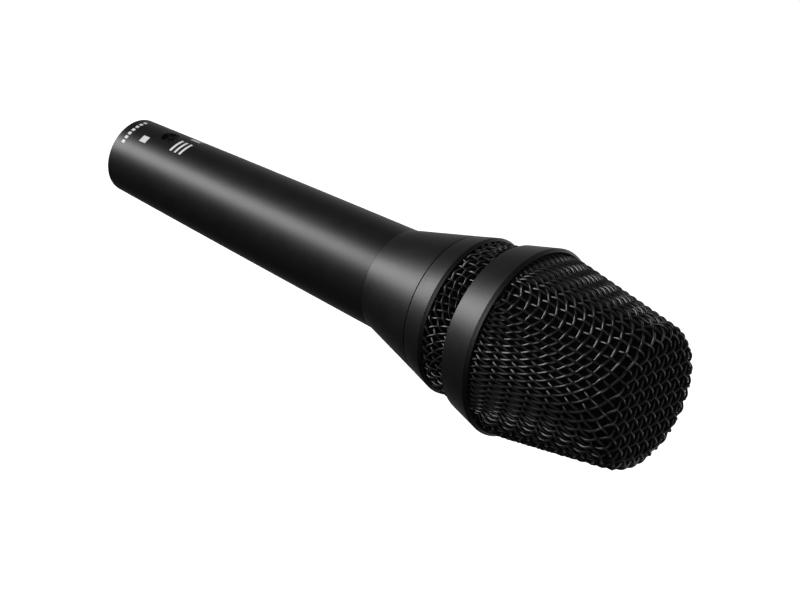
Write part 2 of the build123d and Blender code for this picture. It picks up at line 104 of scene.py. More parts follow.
def add_softbox(name, around, along, size, power):
    """Soft light, its size in metres: around is its angle round the long axis, along its lean to +X."""
    data = bpy.data.lights.new(name, "AREA")
    data.shape = "RECTANGLE"
    data.size, data.size_y = size
    data.energy = power
    lamp = bpy.data.objects.new(name, data)
    a, b = math.radians(around), math.radians(along)
    out = Vector((math.sin(b), -math.sin(a) * math.cos(b), math.cos(a) * math.cos(b)))
    x_axis = (Vector((1, 0, 0)) - out * out.x).normalized()
    turned = Matrix((x_axis, out.cross(x_axis), out)).transposed().to_4x4()
    lamp.matrix_world = Matrix.Translation(SOFTBOX_AIM_M + out * SOFTBOX_DISTANCE_M) @ turned
    lamp.visible_camera = False
    bpy.context.scene.collection.objects.link(lamp)


def add_stage():
    """A plain pale floor, far enough below that no shadow of the microphone falls in view."""
    data = bpy.data.meshes.new("floor")
    signs = [(-1, -1), (1, -1), (1, 1), (-1, 1)]
    corners = [(i * FLOOR_HALF_M, j * FLOOR_HALF_M, FLOOR_HEIGHT_M) for i, j in signs]
    data.from_pydata(corners, [], [(0, 1, 2, 3)])
    floor = bpy.data.objects.new("floor", data)
    floor.visible_glossy = False
    floor.visible_diffuse = False
    bpy.context.scene.collection.objects.link(floor)
    material = bpy.data.materials.new("floor_white")
    material.use_nodes = True
    shader = material.node_tree.nodes["Principled BSDF"]
    shader.inputs["Base Color"].default_value = (FLOOR_WHITE, FLOOR_WHITE, FLOOR_WHITE, 1)
    shader.inputs["Roughness"].default_value = 0.9
    shader.inputs["Specular IOR Level"].default_value = 0.0
    shader.inputs["Emission Color"].default_value = (1, 1, 1, 1)
    shader.inputs["Emission Strength"].default_value = FLOOR_GLOW
    data.materials.append(material)
    bpy.context.scene.view_settings.view_transform = "Standard"


def add_surroundings():
    """A studio that is dark in front and bright low down behind the microphone, as a white sweep is."""
    world = bpy.data.worlds.new("studio")
    world.use_nodes = True
    tree = world.node_tree
    background = tree.nodes["Background"]
    coords = tree.nodes.new("ShaderNodeTexCoord")
    facing = tree.nodes.new("ShaderNodeVectorMath")
    facing.operation = "DOT_PRODUCT"
    facing.inputs[1].default_value = (0, -math.sin(SWEEP_AROUND), math.cos(SWEEP_AROUND))
    tree.links.new(coords.outputs["Generated"], facing.inputs[0])
    ramp = tree.nodes.new("ShaderNodeValToRGB")
    ramp.color_ramp.interpolation = "EASE"
    elements = ramp.color_ramp.elements
    for place, level in SWEEP_LEVELS:
        element = elements.new(place)
        element.color = (level, level, level, 1)
    elements.remove(elements[-1])
    elements.remove(elements[0])
    tree.links.new(facing.outputs["Value"], ramp.inputs["Fac"])
    tree.links.new(ramp.outputs["Color"], background.inputs["Color"])
    # Seen directly, above the floor's edge, the studio is as pale as the floor
    pale = tree.nodes.new("ShaderNodeBackground")
    pale.inputs["Color"].default_value = (STUDIO_PALE, STUDIO_PALE, STUDIO_PALE, 1)
    rays = tree.nodes.new("ShaderNodeLightPath")
    either = tree.nodes.new("ShaderNodeMixShader")
    tree.links.new(rays.outputs["Is Camera Ray"], either.inputs[0])
    tree.links.new(background.outputs[0], either.inputs[1])
    tree.links.new(pale.outputs[0], either.inputs[2])
    tree.links.new(either.outputs[0], tree.nodes["World Output"].inputs["Surface"])
    bpy.context.scene.world = world


add_surroundings()
add_camera()
add_stage()
add_softbox("key", 37.5, -48, (1.15, 0.36), 12.0)
add_softbox("front", 45, 55, (0.5, 0.5), 3.0)


# ---------------------------------------------------------------- materials
NOISE_DETAIL = 3.0
TONE_SPREAD = 0.15
# Patches of tone are this many times coarser than the grain
PATCH_RATIO = 14
# A wave texture turns this many radians over one unit of its scaled coordinate
WAVE_RADIANS = 20


def new_material(name, color, roughness, metallic=0.0):
    """A Principled material with its constant values set; returns it with its nodes and shader."""
    material = bpy.data.materials.new(name)
    material.use_nodes = True
    shader = material.node_tree.nodes["Principled BSDF"]
    shader.inputs["Base Color"].default_value = (*color, 1)
    shader.inputs["Roughness"].default_value = roughness
    shader.inputs["Metallic"].default_value = metallic
    return material, material.node_tree, shader


def textured(name, color, roughness, grain, bump, relief, metallic=0.0):
    """A material whose colour and roughness vary a little, with a fine bump.

    grain is per metre, bump the bump's height in millimetres, and relief its strength.
    """
    material, tree, shader = new_material(name, color, roughness, metallic)
    coords = tree.nodes.new("ShaderNodeTexCoord")
    patches = tree.nodes.new("ShaderNodeTexNoise")
    patches.inputs["Scale"].default_value = grain / PATCH_RATIO
    patches.inputs["Detail"].default_value = NOISE_DETAIL
    tree.links.new(coords.outputs["Object"], patches.inputs["Vector"])
    tone = tree.nodes.new("ShaderNodeValToRGB")
    tone.color_ramp.elements[0].position = 0.3
    tone.color_ramp.elements[1].position = 0.7
    tone.color_ramp.elements[0].color = (*[c * (1 - TONE_SPREAD) for c in color], 1)
    tone.color_ramp.elements[1].color = (*[min(1.0, c * (1 + TONE_SPREAD)) for c in color], 1)
    tree.links.new(patches.outputs["Fac"], tone.inputs["Fac"])
    tree.links.new(tone.outputs["Color"], shader.inputs["Base Color"])
    rough = tree.nodes.new("ShaderNodeMapRange")
    rough.inputs["To Min"].default_value = roughness * (1 - TONE_SPREAD / 2)
    rough.inputs["To Max"].default_value = roughness * (1 + TONE_SPREAD / 2)
    tree.links.new(patches.outputs["Fac"], rough.inputs["Value"])
    tree.links.new(rough.outputs["Result"], shader.inputs["Roughness"])
    fine = tree.nodes.new("ShaderNodeTexNoise")
    fine.inputs["Scale"].default_value = grain
    fine.inputs["Detail"].default_value = NOISE_DETAIL
    tree.links.new(coords.outputs["Object"], fine.inputs["Vector"])
    bumps = tree.nodes.new("ShaderNodeBump")
    bumps.inputs["Strength"].default_value = relief
    bumps.inputs["Distance"].default_value = bump * MM
    tree.links.new(fine.outputs["Fac"], bumps.inputs["Height"])
    tree.links.new(bumps.outputs["Normal"], shader.inputs["Normal"])
    return material


coat_black = textured("coat_black", (0.0045, 0.0045, 0.0047), 0.41, grain=3200, bump=0.03, relief=0.35)
wire_black = textured("wire_black", (0.012, 0.012, 0.013), 0.35, grain=2600, bump=0.02, relief=0.2)
foam_black = textured("foam_black", (0.0012, 0.0012, 0.0013), 1.0, grain=2200, bump=0.4, relief=0.9)
# Open-cell foam swallows light, so it has hardly any sheen
foam_black.node_tree.nodes["Principled BSDF"].inputs["Specular IOR Level"].default_value = 0.1
rubber_black = textured("rubber_black", (0.02, 0.02, 0.02), 0.62, grain=3000, bump=0.02, relief=0.3)
plastic_black = textured("plastic_black", (0.025, 0.025, 0.027), 0.45, grain=5000, bump=0.01, relief=0.25)
plastic_grey = textured("plastic_grey", (0.06, 0.06, 0.065), 0.5, grain=5000, bump=0.01, relief=0.25)
nickel = textured("nickel", (0.6, 0.59, 0.57), 0.28, metallic=1.0, grain=3500, bump=0.01, relief=0.2)
magnet_nickel = textured(
    "magnet_nickel", (0.5, 0.5, 0.52), 0.34, metallic=1.0, grain=3000, bump=0.01, relief=0.2
)
gold = textured("gold", (0.86, 0.62, 0.27), 0.24, metallic=1.0, grain=3500, bump=0.01, relief=0.15)
steel_black = textured(
    "steel_black", (0.05, 0.05, 0.055), 0.38, metallic=0.8, grain=3500, bump=0.01, relief=0.2
)
board_green = textured("board_green", (0.02, 0.16, 0.06), 0.35, grain=2500, bump=0.01, relief=0.2)
ceramic_tan = textured("ceramic_tan", (0.55, 0.4, 0.24), 0.55, grain=4500, bump=0.02, relief=0.2)
lead_red = textured("lead_red", (0.45, 0.02, 0.02), 0.38, grain=3000, bump=0.01, relief=0.2)
lead_blue = textured("lead_blue", (0.02, 0.06, 0.35), 0.38, grain=3000, bump=0.01, relief=0.2)
film_clear = textured("film_clear", (0.72, 0.68, 0.55), 0.2, grain=1500, bump=0.01, relief=0.1)
felt_pale = textured("felt_pale", (0.5, 0.48, 0.42), 0.95, grain=4000, bump=0.15, relief=0.8)
cloth_black = textured("cloth_black", (0.02, 0.02, 0.02), 0.9, grain=6000, bump=0.1, relief=0.8)
print_white = textured("print_white", (0.75, 0.75, 0.74), 0.5, grain=4000, bump=0.01, relief=0.1)


def winding(name, color, spacing):
    """Enamelled wire wound along X: fine rings of bump, with painted shade darkening the grooves between
    turns, at a spacing.
    """
    material, tree, shader = new_material(name, color, 0.3, 0.9)
    coords = tree.nodes.new("ShaderNodeTexCoord")
    waves = tree.nodes.new("ShaderNodeTexWave")
    waves.bands_direction = "X"
    waves.inputs["Scale"].default_value = 2 * math.pi / (WAVE_RADIANS * spacing * MM)
    tree.links.new(coords.outputs["Object"], waves.inputs["Vector"])
    # Painted shade: the colour falls to 0.35 of itself where the bump is lowest, in the grooves between
    # turns
    tone = tree.nodes.new("ShaderNodeValToRGB")
    tone.color_ramp.elements[0].color = (*[c * 0.35 for c in color], 1)
    tone.color_ramp.elements[1].color = (*color, 1)
    tree.links.new(waves.outputs["Fac"], tone.inputs["Fac"])
    tree.links.new(tone.outputs["Color"], shader.inputs["Base Color"])
    bumps = tree.nodes.new("ShaderNodeBump")
    bumps.inputs["Strength"].default_value = 0.8
    bumps.inputs["Distance"].default_value = spacing * MM / 4
    tree.links.new(waves.outputs["Fac"], bumps.inputs["Height"])
    tree.links.new(bumps.outputs["Normal"], shader.inputs["Normal"])
    return material


copper = winding("copper", (0.62, 0.2, 0.08), 0.5)

CAD_MATERIALS = {
    "head_seal": rubber_black,
    "mesh_clamp_ring": nickel,
    "xlr_shell": nickel,
    "xlr_insulator": plastic_black,
    "xlr_pin_1": gold,
    "xlr_pin_2": gold,
    "xlr_pin_3": gold,
    "rf_board": board_green,
    "rf_capacitors": ceramic_tan,
    "ground_tag": gold,
    "lock_screw": steel_black,
    "lead_hot": lead_red,
    "lead_cold": lead_blue,
    "capsule_carrier": plastic_black,
    "rear_shock_ring": rubber_black,
    "front_shock_ring": rubber_black,
    "rear_chamber": plastic_grey,
    "capsule_body": plastic_grey,
    "magnet_yoke": nickel,
    "magnet": magnet_nickel,
    "pole_piece": nickel,
    "voice_coil": copper,
    "hum_coil": copper,
    "diaphragm": film_clear,
    "surround": film_clear,
    "diaphragm_ring": gold,
    "damping_felt": felt_pale,
    "resonator_cap": plastic_grey,
    "capsule_cloth": cloth_black,
    "terminal_board": board_green,
    "solder_tags": gold,
}
for node, material in CAD_MATERIALS.items():
    nodes[node].data.materials.clear()
    nodes[node].data.materials.append(material)


# ---------------------------------------------------------------- mesh tools
SHARP_ANGLE = math.radians(38)
LONGEST_FACE = 4.0
# Share of an edge that the rounding of one of its corners can take
CORNER_SHARE = 0.45


def add_mesh(name, points, faces, material, body, smooth=True):
    """Mesh object from points in millimetres, on a body and in a slot."""
    data = bpy.data.meshes.new(name)
    data.from_pydata([tuple(p) for p in to_m(points)], [], faces)
    data.update()
    data.materials.append(material)
    if smooth:
        data.shade_smooth()
        data.set_sharp_from_angle(angle=SHARP_ANGLE)
    piece = bpy.data.objects.new(name, data)
    bpy.context.scene.collection.objects.link(piece)
    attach(piece, body)
    return piece


def corner_sides(before, corner, after):
    """Unit directions from a corner to its two neighbours, their distances, and half the angle between."""
    a, b = before - corner, after - corner
    la, lb = np.linalg.norm(a), np.linalg.norm(b)
    a, b = a / la, b / lb
    return a, b, la, lb, math.acos(np.clip(np.dot(a, b), -1, 1)) / 2


def corner_curve(before, corner, after, radius, steps):
    """Points of a curve that rounds a corner by up to radius."""
    before, corner, after = (np.array(p, float) for p in (before, corner, after))
    a, b, la, lb, half = corner_sides(before, corner, after)
    reach = min(radius / math.tan(half), la * CORNER_SHARE, lb * CORNER_SHARE)
    start, end = corner + a * reach, corner + b * reach
    places = [k / steps for k in range(steps + 1)]
    return [(1 - t) ** 2 * start + 2 * t * (1 - t) * corner + t * t * end for t in places]


def rounded(points, radius, steps=5):
    """Closed (x, r) outline with every corner rounded by up to radius."""
    result = []
    for i, corner in enumerate(points):
        result += corner_curve(points[i - 1], corner, points[(i + 1) % len(points)], radius, steps)
    return result


def divided(points):
    """Closed outline with its long runs divided, so that no face is longer than LONGEST_FACE."""
    result = []
    for i, start in enumerate(points):
        end = points[(i + 1) % len(points)]
        count = max(1, math.ceil(np.linalg.norm(np.subtract(end, start)) / LONGEST_FACE))
        for k in range(count):
            result.append(start + (end - start) * k / count)
    return result


def lathe(outline, segments):
    """Points and faces of a closed (x, r) outline turned about the long axis."""
    outline = np.array(outline)
    angles = np.linspace(0, 2 * math.pi, segments, endpoint=False)
    points = []
    for angle in angles:
        for x, r in outline:
            points.append((x, -r * math.sin(angle), r * math.cos(angle)))
    count = len(outline)
    faces = []
    for s in range(segments):
        this, following = s * count, (s + 1) % segments * count
        for k in range(count):
            n = (k + 1) % count
            faces.append((this + k, this + n, following + n, following + k))
    return points, faces


def face_out(piece):
    """Turn the piece's faces to point outwards."""
    mesh = bmesh.new()
    mesh.from_mesh(piece.data)
    bmesh.ops.recalc_face_normals(mesh, faces=mesh.faces)
    mesh.to_mesh(piece.data)
    mesh.free()


def turned_piece(name, outline, material, body, radius=0.12, segments=200):
    """Closed (x, r) outline with rounded corners, turned about the long axis."""
    points, faces = lathe(divided(rounded(outline, radius)), segments)
    piece = add_mesh(name, points, faces, material, body)
    face_out(piece)
    return piece


# ---------------------------------------------------------------- turned metal shells
handle_start, handle_end, handle_r = span("handle")
neck_start, _, neck_r = span("neck_flare")
collar_start, collar_end, collar_r = span("collar_ring")
band_start, band_end, band_r = span("grille_band")
TAIL_R = 10.73
BORE_R = 9.2
# The socket's bore is straight to here, and widens from here to the front
BORE_END = 27.0
BORE_FRONT_R = 12.0
SPIGOT_START = 93.0
SPIGOT_R = 12.3
SPIGOT_BORE_R = 10.6
SEAM_CHAMFER = 0.03
HANDLE_BULGE = 0.1
HANDLE_STATIONS = 26
HANDLE_SEGMENTS = 220
HANDLE_INNER_ROUND = 0.02
TAIL_ROUND = 0.5
HOLE_SIDES = 64
# The hole's cutter starts inside the bore, and opens at 45 degrees near the surface and past it
HOLE_START_R = 6.0
HOLE_BEVEL = 0.12
HOLE_OVERRUN = 0.48


def handle_surface_r(x):
    """Handle's outside radius: a cone with a very slight swell."""
    t = x / handle_end
    return TAIL_R + (handle_r - TAIL_R) * t + HANDLE_BULGE * 4 * t * (1 - t)


def handle_outline():
    """Handle's outside from the seam to the tail, and its inside from the tail to the seam."""
    stations = np.linspace(handle_end - SEAM_CHAMFER, handle_start, HANDLE_STATIONS)
    swell = [(x, handle_surface_r(x)) for x in stations]
    inner = [
        (handle_start, BORE_R),
        (BORE_END, BORE_R),
        (SPIGOT_START, BORE_FRONT_R),
        (SPIGOT_START, SPIGOT_R),
        (handle_end, SPIGOT_R),
        (handle_end, handle_r - SEAM_CHAMFER),
    ]
    return swell, inner


def cut_round_hole(piece, x, lean, radius, top):
    """Drill a round hole through the wall, leaning off the top, with a small bevel at its mouth."""
    cutter = bmesh.new()
    out = Vector((0, math.sin(lean), math.cos(lean)))
    across = Vector((1, 0, 0)).cross(out)
    mouth_r = radius + HOLE_BEVEL + HOLE_OVERRUN
    rings = [(radius, HOLE_START_R), (radius, top - HOLE_BEVEL), (mouth_r, top + HOLE_OVERRUN)]
    loops = []
    for r, height in rings:
        loop = []
        for k in range(HOLE_SIDES):
            a = 2 * math.pi * k / HOLE_SIDES
            offset = Vector((r * math.cos(a), 0, 0)) + across * r * math.sin(a)
            loop.append(cutter.verts.new((Vector((x, 0, 0)) + out * height + offset) * MM))
        loops.append(loop)
    for low, high in zip(loops, loops[1:]):
        for k in range(HOLE_SIDES):
            n = (k + 1) % HOLE_SIDES
            cutter.faces.new((low[k], low[n], high[n], high[k]))
    cutter.faces.new(loops[0])
    cutter.faces.new(list(reversed(loops[-1])))
    bmesh.ops.recalc_face_normals(cutter, faces=cutter.faces)
    data = bpy.data.meshes.new("cutter")
    cutter.to_mesh(data)
    cutter.free()
    tool = bpy.data.objects.new("cutter", data)
    bpy.context.scene.collection.objects.link(tool)
    boolean = piece.modifiers.new("hole", "BOOLEAN")
    boolean.operation = "DIFFERENCE"
    boolean.solver = "EXACT"
    boolean.object = tool
    bpy.context.view_layer.update()
    evaluated = piece.evaluated_get(bpy.context.evaluated_depsgraph_get())
    result = bpy.data.meshes.new_from_object(evaluated)
    piece.modifiers.remove(boolean)
    piece.data = result
    bpy.data.objects.remove(tool)
    result.shade_smooth()
    result.set_sharp_from_angle(angle=SHARP_ANGLE)


SCREW_X = 15.1
SCREW_LEAN = math.radians(2.5)
SCREW_HOLE_R = 2.6


def make_handle():
    """The handle's shell, with the lock screw's hole drilled through its wall."""
    swell, inner = handle_outline()
    tail_curve = corner_curve(swell[-2], swell[-1], inner[0], TAIL_ROUND, 8)
    outline = [np.array(p) for p in swell[:-1]] + tail_curve + rounded(inner, HANDLE_INNER_ROUND, 3)
    points, faces = lathe(divided(outline), HANDLE_SEGMENTS)
    piece = add_mesh("handle_shell", points, faces, coat_black, "handle_body")
    face_out(piece)
    height = TAIL_R + (handle_r - TAIL_R) * SCREW_X / handle_end
    cut_round_hole(piece, SCREW_X, SCREW_LEAN, SCREW_HOLE_R, height)
    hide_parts("handle")


make_handle()

PRINT_PROUD = 0.02
PRINT_DEPTH = 0.06
PRINT_STEP = 3.0
# Each mark: first and last x, first and last angle round the handle, in degrees
TAIL_DASHES = [(2.6, 3.7, angle, angle + 5.0) for angle in range(-12, 38, 8)]
SQUARE_MARK = [(8.0, 10.4, 16.0, 28.0)]
HANDLE_BARS = [(x, x + 0.8, -4.0, 22.0) for x in (19.4, 21.2, 23.0)]
SHORT_BARS = [(20.0, 23.4, angle, angle + 5.0) for angle in (-32, -22)]


def printed_mark(x0, x1, phi0, phi1, base):
    """Closed thin patch that follows the handle, as points and faces numbered from base."""
    columns = max(2, math.ceil((phi1 - phi0) / PRINT_STEP))
    points, faces = [], []
    for lift in (-PRINT_DEPTH, PRINT_PROUD):
        for x in (x0, x1):
            for phi in np.radians(np.linspace(phi0, phi1, columns + 1)):
                r = handle_surface_r(x) + lift
                points.append((x, -r * math.sin(phi), r * math.cos(phi)))
    row = columns + 1
    low0, low1, top0, top1 = (base + row * k for k in range(4))
    for k in range(columns):
        faces.append((top0 + k, top1 + k, top1 + k + 1, top0 + k + 1))
        faces.append((low0 + k, low0 + k + 1, low1 + k + 1, low1 + k))
        faces.append((low0 + k, top0 + k, top0 + k + 1, low0 + k + 1))
        faces.append((low1 + k, low1 + k + 1, top1 + k + 1, top1 + k))
    for k in (0, columns):
        faces.append((low0 + k, low1 + k, top1 + k, top0 + k))
    return points, faces


def add_prints():
    """Plain pale marks printed near the tail: dashes, a square and bars, with no lettering."""
    points, faces = [], []
    for mark in TAIL_DASHES + SQUARE_MARK + HANDLE_BARS + SHORT_BARS:
        more_points, more_faces = printed_mark(*mark, len(points))
        points += more_points
        faces += more_faces
    prints = add_mesh("tail_prints", points, faces, print_white, "handle_body", smooth=False)
    face_out(prints)


add_prints()

NECK_EDGE = 120.45
NECK_END = 127.5
NECK_ROUND = 0.02
SPIGOT_CLEARANCE = 0.02
# The flare's rise for each millimetre along it
FLARE_SLOPE = 0.3
# The neck's inside: straight at first, then a cone out to the carrier's bore
SPIGOT_BORE_END = 104.0
CARRIER_BORE_START = 110.0
CARRIER_BORE_R = 15.05
THREAD_R = 17.6
THREAD_CLEARANCE = 0.15
THREAD_DEPTH = 0.45
THREAD_FLANK = 0.4
THREAD_START = 122.0
THREAD_TURNS = 5


def thread_points(radius, depth):
    """Outline of the thread's grooves, one a millimetre, cut in from a radius by a depth."""
    points = []
    for turn in range(THREAD_TURNS):
        x = THREAD_START + turn
        points += [(x - THREAD_FLANK, radius), (x, radius - depth), (x + THREAD_FLANK, radius)]
    return points


neck = turned_piece(
    "neck_shell",
    [
        (neck_start, SPIGOT_BORE_R),
        (neck_start, SPIGOT_R - SPIGOT_CLEARANCE),
        (handle_end, SPIGOT_R - SPIGOT_CLEARANCE),
        (handle_end, handle_r - SEAM_CHAMFER),
        (handle_end + SEAM_CHAMFER, handle_r + SEAM_CHAMFER * FLARE_SLOPE),
        (NECK_EDGE, neck_r),
        (NECK_EDGE, THREAD_R),
        *thread_points(THREAD_R, THREAD_DEPTH),
        (NECK_END, THREAD_R - THREAD_DEPTH),
        (NECK_END, CARRIER_BORE_R),
        (CARRIER_BORE_START, CARRIER_BORE_R),
        (SPIGOT_BORE_END, SPIGOT_BORE_R),
    ],
    coat_black,
    "handle_body",
    radius=NECK_ROUND,
)
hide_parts("neck_flare")

COLLAR_EDGE = 126.85
COLLAR_CHAMFER_R = 20.93
COLLAR_STEP = 0.09
COLLAR_THREAD_R = THREAD_R + THREAD_CLEARANCE
SEAL_GROOVE_IN_R = 18.48
SEAL_GROOVE_OUT_R = 19.12
SEAL_GROOVE_END = 121.35
# Groove in the collar's front face, which holds the rear mesh's hem
HEM_GROOVE_IN_R = 19.35
HEM_GROOVE_OUT_R = 20.8
HEM_GROOVE_START = 126.2
collar = turned_piece(
    "collar_shell",
    [
        (collar_start, COLLAR_THREAD_R),
        (collar_start, SEAL_GROOVE_IN_R),
        (SEAL_GROOVE_END, SEAL_GROOVE_IN_R),
        (SEAL_GROOVE_END, SEAL_GROOVE_OUT_R),
        (collar_start, SEAL_GROOVE_OUT_R),
        (collar_start, neck_r + COLLAR_STEP),
        (COLLAR_EDGE, collar_r),
        (collar_end, COLLAR_CHAMFER_R),
        (collar_end, HEM_GROOVE_OUT_R),
        (HEM_GROOVE_START, HEM_GROOVE_OUT_R),
        (HEM_GROOVE_START, HEM_GROOVE_IN_R),
        (collar_end, HEM_GROOVE_IN_R),
        (collar_end, COLLAR_THREAD_R),
        *reversed(thread_points(COLLAR_THREAD_R, -THREAD_DEPTH)),
    ],
    coat_black,
    "head",
)
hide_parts("collar_ring")

BAND_EDGE = 145.0
BAND_REAR_R = 22.93
BAND_CHAMFER = 0.3
# Rise of the band's cone over the length of its rear chamfer
BAND_CHAMFER_RISE = 0.085
BAND_LIP_R = 24.8
BAND_LIP = 0.1
# Inside the band: a recess for the front mesh, a shelf, and behind it a pocket for the rear mesh's end
BAND_RECESS_R = 24.5
BAND_SHELF_START = 136.9
BAND_SHELF_END = 143.1
BAND_SHELF_R = 18.6
BAND_POCKET_END = 138.4
BAND_POCKET_IN_R = 19.9
BAND_POCKET_R = 21.45
band = turned_piece(
    "band_shell",
    [
        (band_start, BAND_POCKET_R),
        (band_start, BAND_REAR_R - BAND_CHAMFER),
        (band_start + BAND_CHAMFER, BAND_REAR_R + BAND_CHAMFER_RISE),
        (BAND_EDGE, band_r),
        (band_end, BAND_LIP_R),
        (band_end - BAND_LIP, BAND_RECESS_R),
        (BAND_SHELF_END, BAND_RECESS_R),
        (BAND_SHELF_END, BAND_SHELF_R),
        (BAND_SHELF_START, BAND_SHELF_R),
        (BAND_SHELF_START, BAND_POCKET_IN_R),
        (BAND_POCKET_END, BAND_POCKET_IN_R),
        (BAND_POCKET_END, BAND_POCKET_R),
    ],
    coat_black,
    "head",
    radius=0.14,
    segments=240,
)
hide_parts("grille_band")


# ---------------------------------------------------------------- woven wire
SHEET_MARGIN = 12.0


class Form:
    """A surface of revolution that a sheet is draped on: its outline by arc length from the pole.

    A point of it has sheet coordinates (u, v): its arc length from the pole, in the direction of its
    angle. The form runs on past its hem, so that the sheet can overhang.
    """

    def __init__(self, outline):
        """Take an open (x, r) outline that starts at the pole."""
        points = np.array(outline, float)
        onward = points[-1] - points[-2]
        points = np.vstack([points, points[-1] + onward / np.linalg.norm(onward) * SHEET_MARGIN])
        steps = np.linalg.norm(np.diff(points, axis=0), axis=1)
        self.s = np.concatenate([[0.0], np.cumsum(steps)])
        self.x, self.r = points[:, 0], points[:, 1]
        self.x_slope, self.r_slope = np.gradient(self.x, self.s), np.gradient(self.r, self.s)
        self.length = self.s[-1] - SHEET_MARGIN

    def drape(self, sheet):
        """Space points (x, then two across) for sheet coordinates, and their 3 by 2 derivatives."""
        s = np.maximum(np.linalg.norm(sheet, axis=-1), 1e-6)
        out = sheet / s[..., None]
        r, r_slope = np.interp(s, self.s, self.r), np.interp(s, self.s, self.r_slope)
        points = np.concatenate([np.interp(s, self.s, self.x)[..., None], r[..., None] * out], -1)
        slopes = np.zeros(sheet.shape[:-1] + (3, 2))
        slopes[..., 0, :] = np.interp(s, self.s, self.x_slope)[..., None] * out
        for i in range(2):
            for j in range(2):
                both = out[..., i] * out[..., j]
                slopes[..., 1 + i, j] = r_slope * both + r / s * ((i == j) - both)
        return points, slopes

    def place(self, sheet, turn):
        """Points and outward normals in the microphone's frame, with the sheet turned on the form."""
        s, angle = np.linalg.norm(sheet, axis=-1), np.arctan2(sheet[:, 1], sheet[:, 0]) + turn
        x, r = np.interp(s, self.s, self.x), np.interp(s, self.s, self.r)
        nx, nr = np.interp(s, self.s, self.r_slope), -np.interp(s, self.s, self.x_slope)
        if self.x[-1] > self.x[0]:
            nx, nr = -nx, -nr
        points = np.stack([x, -r * np.sin(angle), r * np.cos(angle)], -1)
        normals = np.stack([nx, -nr * np.sin(angle), nr * np.cos(angle)], -1)
        return points, normals / np.linalg.norm(normals, axis=-1, keepdims=True)


SHEAR_STIFFNESS = 0.08
BEND_STIFFNESS = 0.3
# Wires give more easily where the sheet folds, along its middle
FOLD_STIFFNESS = 0.2
MIRROR_U = np.array([1.0, -1.0, 1.0])
MIRROR_V = np.array([1.0, 1.0, -1.0])
# A mirrored row in front of a quarter, and the row it mirrors
MIRROR_PAIRS = ((1, 2), (0, 3))
# Limit on how far a cell's corners can lean, which keeps its shear finite
LEAN_LIMIT = 0.995
TINY = 1e-9
# Settling: each round's step grows while the sheet moves downhill, and is halved when it climbs
SETTLING_ROUNDS = 1500
FIRST_STEP = 0.1
LONGEST_STEP = 1.6
STEP_GROWTH = 1.1
STEERING = 0.1
STEERING_LOSS = 0.99
ROUNDS_BEFORE_GROWTH = 5
GAIN = 0.25
LONGEST_MOVE = 0.3


def with_mirrors(quarter, flip_u=1.0, flip_v=1.0):
    """One quarter of a sheet with two mirrored rows and columns of its neighbours in front."""
    shape = (len(quarter) + 2, len(quarter) + 2) + quarter.shape[2:]
    whole = np.zeros(shape, quarter.dtype)
    whole[2:, 2:] = quarter
    for near, far in MIRROR_PAIRS:
        whole[near, 2:] = whole[far, 2:] * flip_u
    for near, far in MIRROR_PAIRS:
        whole[:, near] = whole[:, far] * flip_v
    return whole


def without_mirrors(force):
    """Forces on a quarter, with those on its mirrored neighbours folded back onto it."""
    force = force.copy()
    for near, far in MIRROR_PAIRS:
        force[:, far] += force[:, near] * MIRROR_V
    for near, far in MIRROR_PAIRS:
        force[far, 2:] += force[near, 2:] * MIRROR_U
    return force[2:, 2:]


def sheet_force(form, sheet, live, live_all, pitch):
    """Pull on every crossing of the draped sheet: wires' stretch and sideways bending, and shear."""
    points, slopes = form.drape(sheet)
    normals = np.cross(slopes[..., 0], slopes[..., 1])
    normals /= np.maximum(np.linalg.norm(normals, axis=-1, keepdims=True), TINY)
    whole = with_mirrors(points, MIRROR_U, MIRROR_V)
    up = with_mirrors(normals, MIRROR_U, MIRROR_V)
    force = np.zeros_like(whole)
    for order in ((0, 1, 2), (1, 0, 2)):
        p, n, f = (grid.transpose(order) for grid in (whole, up, force))
        on = live_all.transpose(order[:2])
        link = p[1:] - p[:-1]
        length = np.maximum(np.linalg.norm(link, axis=-1), TINY)
        pull = ((on[1:] & on[:-1]) * (length / pitch - 1) / pitch / length)[..., None] * link
        f[1:] -= pull
        f[:-1] += pull
        bend = p[2:] - 2 * p[1:-1] + p[:-2]
        bend -= n[1:-1] * np.sum(bend * n[1:-1], -1, keepdims=True)
        stiffness = (on[2:] & on[1:-1] & on[:-2]) * BEND_STIFFNESS / pitch**2
        stiffness[:2] *= FOLD_STIFFNESS
        bend *= stiffness[..., None]
        f[2:] -= bend
        f[:-2] -= bend
        f[1:-1] += 2 * bend
    along, across = whole[1:, 1:] - whole[:-1, :-1], whole[1:, :-1] - whole[:-1, 1:]
    a, b = np.sum(along * along, -1), np.sum(across * across, -1)
    lean = np.clip((a - b) / (a + b), -LEAN_LIMIT, LEAN_LIMIT)
    cell = live_all[1:, 1:] & live_all[:-1, :-1] & live_all[1:, :-1] & live_all[:-1, 1:]
    shear = cell * SHEAR_STIFFNESS * lean / (1 - lean**2) * 4 / (a + b) ** 2
    along, across = along * (shear * b)[..., None], across * (shear * a)[..., None]
    force[1:, 1:] -= along
    force[:-1, :-1] += along
    force[1:, :-1] += across
    force[:-1, 1:] -= across
    return np.einsum("...k,...kj->...j", without_mirrors(force), slopes) * live[..., None]


